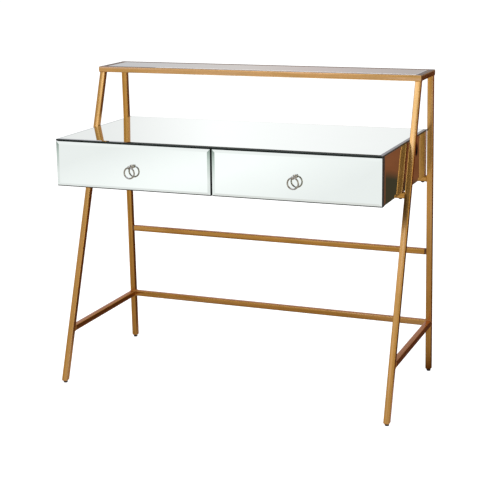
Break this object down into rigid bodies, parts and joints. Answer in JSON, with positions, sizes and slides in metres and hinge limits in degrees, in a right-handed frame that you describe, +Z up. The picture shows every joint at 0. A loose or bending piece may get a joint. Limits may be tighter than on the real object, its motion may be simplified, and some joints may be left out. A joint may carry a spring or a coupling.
{
  "type": "dressing table",
  "caption": "Mirror-clad dressing table on a slanted gold square-tube frame, with beveled drawer fronts, ring pulls and a raised mirror shelf.",
  "frame": {"origin": "middle of the footprint's bounding box, on the floor", "axes": "+X to the user's right, -Y towards the user (the drawer fronts), +Z up"},
  "size_m": [1.034, 0.5462, 0.942],
  "materials": {
    "gold_frame": "brushed antique gold",
    "silver_mirror": "silvered glass with ground bevels",
    "shelf_mirror": "grey-toned mirror glass",
    "black_board": "black-painted fibreboard",
    "drawer_wood": "clear-sealed plywood",
    "slide_steel": "zinc-plated",
    "nickel": "polished nickel",
    "bronze_plug": "dark bronze",
    "black_plastic": "moulded",
    "black_screw": "black oxide"
  },
  "bodies": {
    "frame": {"back_board": "black_board", "back_leg_left": "gold_frame", "back_leg_right": "gold_frame", "back_stretcher_high": "gold_frame", "back_stretcher_low": "gold_frame", "bottom_board": "black_board", "box_rail_back": "gold_frame", "box_rail_front": "gold_frame", "box_screw_back_left": "black_screw", "box_screw_back_right": "black_screw", "box_screw_front_left": "black_screw", "box_screw_front_right": "black_screw", "divider": "black_board", "front_leg_left": "gold_frame", "front_leg_right": "gold_frame", "glide_back_left": "black_plastic", "glide_back_right": "black_plastic", "glide_front_left": "black_plastic", "glide_front_right": "black_plastic", "shelf_board": "black_board", "shelf_mirror": "shelf_mirror", "shelf_rail_back": "gold_frame", "shelf_rail_front": "gold_frame", "shelf_rail_left": "gold_frame", "shelf_rail_right": "gold_frame", "side_board_left": "black_board", "side_board_right": "black_board", "side_mirror_left": "silver_mirror", "side_mirror_right": "silver_mirror", "side_stretcher_left": "gold_frame", "side_stretcher_right": "gold_frame", "slide_case_left_inner": "slide_steel", "slide_case_left_outer": "slide_steel", "slide_case_right_inner": "slide_steel", "slide_case_right_outer": "slide_steel", "stretcher_plug_left": "bronze_plug", "stretcher_plug_right": "bronze_plug", "top_board": "black_board", "top_mirror": "silver_mirror"},
    "drawer_left": {"drawer_left_back": "drawer_wood", "drawer_left_bottom": "drawer_wood", "drawer_left_front": "black_board", "drawer_left_mirror": "silver_mirror", "drawer_left_side_inner": "drawer_wood", "drawer_left_side_outer": "drawer_wood", "pull_post_left": "nickel", "slide_drawer_left_inner": "slide_steel", "slide_drawer_left_outer": "slide_steel"},
    "pull_left": {"pull_ring_left": "nickel"},
    "drawer_right": {"drawer_right_back": "drawer_wood", "drawer_right_bottom": "drawer_wood", "drawer_right_front": "black_board", "drawer_right_mirror": "silver_mirror", "drawer_right_side_inner": "drawer_wood", "drawer_right_side_outer": "drawer_wood", "pull_post_right": "nickel", "slide_drawer_right_inner": "slide_steel", "slide_drawer_right_outer": "slide_steel"},
    "pull_right": {"pull_ring_right": "nickel"}
  },
  "joints": [
    {"name": "drawer_left_slide", "type": "slide", "parent": "frame", "child": "drawer_left", "axis": [0, -1, 0], "range_m": [0, 0.3]},
    {"name": "pull_left_swing", "type": "hinge", "parent": "drawer_left", "child": "pull_left", "pos_m": [-0.2485, -0.26768, 0.691], "axis": [-1, 0, 0], "range_deg": [-24, 204]},
    {"name": "drawer_right_slide", "type": "slide", "parent": "frame", "child": "drawer_right", "axis": [0, -1, 0], "range_m": [0, 0.3]},
    {"name": "pull_right_swing", "type": "hinge", "parent": "drawer_right", "child": "pull_right", "pos_m": [0.2485, -0.26768, 0.691], "axis": [-1, 0, 0], "range_deg": [-24, 204]}
  ]
}
